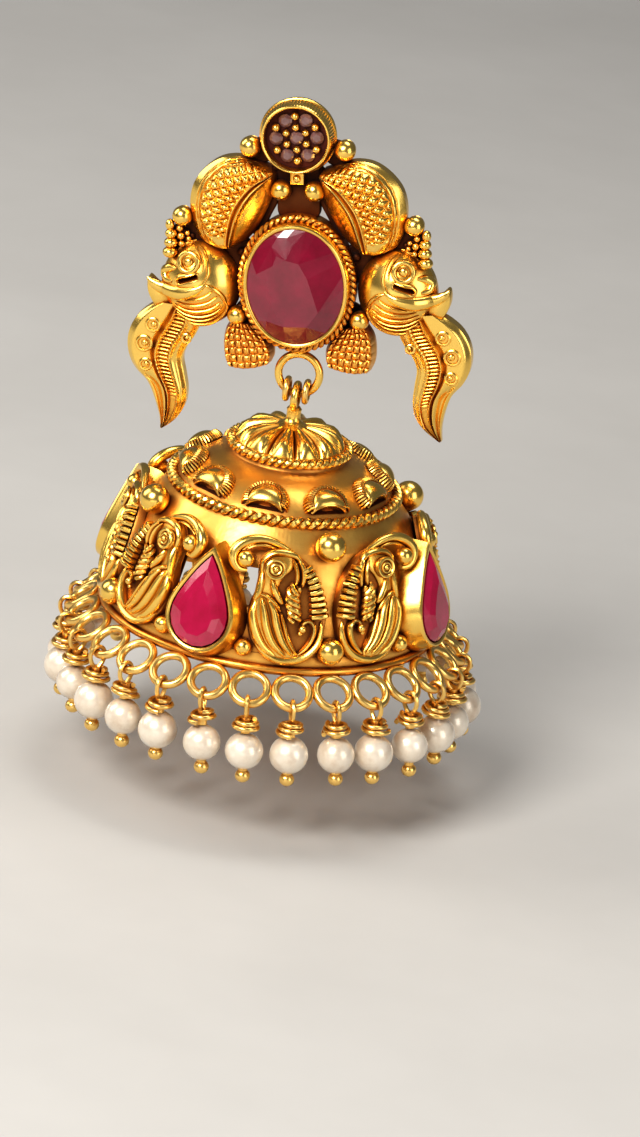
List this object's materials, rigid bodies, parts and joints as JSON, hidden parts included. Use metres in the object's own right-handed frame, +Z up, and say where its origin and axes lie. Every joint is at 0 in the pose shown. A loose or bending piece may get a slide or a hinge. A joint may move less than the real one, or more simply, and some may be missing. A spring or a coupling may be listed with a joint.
{
  "type": "jhumka earring",
  "caption": "Gold jhumka earring: an ear-lobe crown with peacocks round an oval ruby, and a hollow domed bell that hangs from it with pear rubies and a fringe of pearls.",
  "frame": {"origin": "the lobe seat: the back face of the crown on the axis of the ear post, where the crown lies against the ear lobe", "axes": "+Z up, with the bell hanging straight down; the front faces -Y and the ear post runs along +Y; the crown is turned 7.5 degrees about the post, as it is worn in the picture"},
  "size_m": [0.0385, 0.0387, 0.0558],
  "materials": {
    "gold": "warm 22 carat yellow gold, polished on the high parts, with a dull red-brown patina in the recesses",
    "gold_wire": "plain drawn gold wire, smooth satin",
    "ruby": "nearly opaque deep crimson stone, faceted and polished",
    "pink_ruby": "nearly opaque magenta-crimson stone, faceted and polished",
    "smoky_stone": "smoky greyish-pink small stone, polished",
    "pearl": "creamy white pearl with a soft sheen"
  },
  "bodies": {
    "crown": {"crown_frame": "gold", "oval_ruby": "ruby", "disc_stones": "smoky_stone", "ear_post": "gold_wire"},
    "connection": {"jump_ring_left": "gold_wire", "jump_ring_right": "gold_wire"},
    "bell": {"bell_shell": "gold", "pear_ruby_1": "pink_ruby", "pear_ruby_2": "pink_ruby", "pear_ruby_3": "pink_ruby", "pear_ruby_4": "pink_ruby", "pearl_01": "pearl", "pearl_02": "pearl", "pearl_03": "pearl", "pearl_04": "pearl", "pearl_05": "pearl", "pearl_06": "pearl", "pearl_07": "pearl", "pearl_08": "pearl", "pearl_09": "pearl", "pearl_10": "pearl", "pearl_11": "pearl", "pearl_12": "pearl", "pearl_13": "pearl", "pearl_14": "pearl", "pearl_15": "pearl", "pearl_16": "pearl", "pearl_17": "pearl", "pearl_18": "pearl", "pearl_19": "pearl", "pearl_20": "pearl", "pearl_21": "pearl", "pearl_22": "pearl", "pearl_23": "pearl", "pearl_24": "pearl", "pearl_25": "pearl", "pearl_26": "pearl", "pearl_27": "pearl", "pearl_28": "pearl", "drop_pins_1": "gold_wire", "drop_pins_2": "gold_wire", "drop_pins_3": "gold_wire", "drop_pins_4": "gold_wire"}
  },
  "joints": [
    {"name": "side_swing", "type": "hinge", "parent": "crown", "child": "connection", "pos_m": [0.00109, -0.0012, -0.00828], "axis": [0, 1, 0], "range_deg": [-22, 8]},
    {"name": "fore_aft_swing", "type": "hinge", "parent": "connection", "child": "bell", "pos_m": [0.00109, -0.0012, -0.01008], "axis": [1, 0, 0], "range_deg": [-45, 45]}
  ]
}
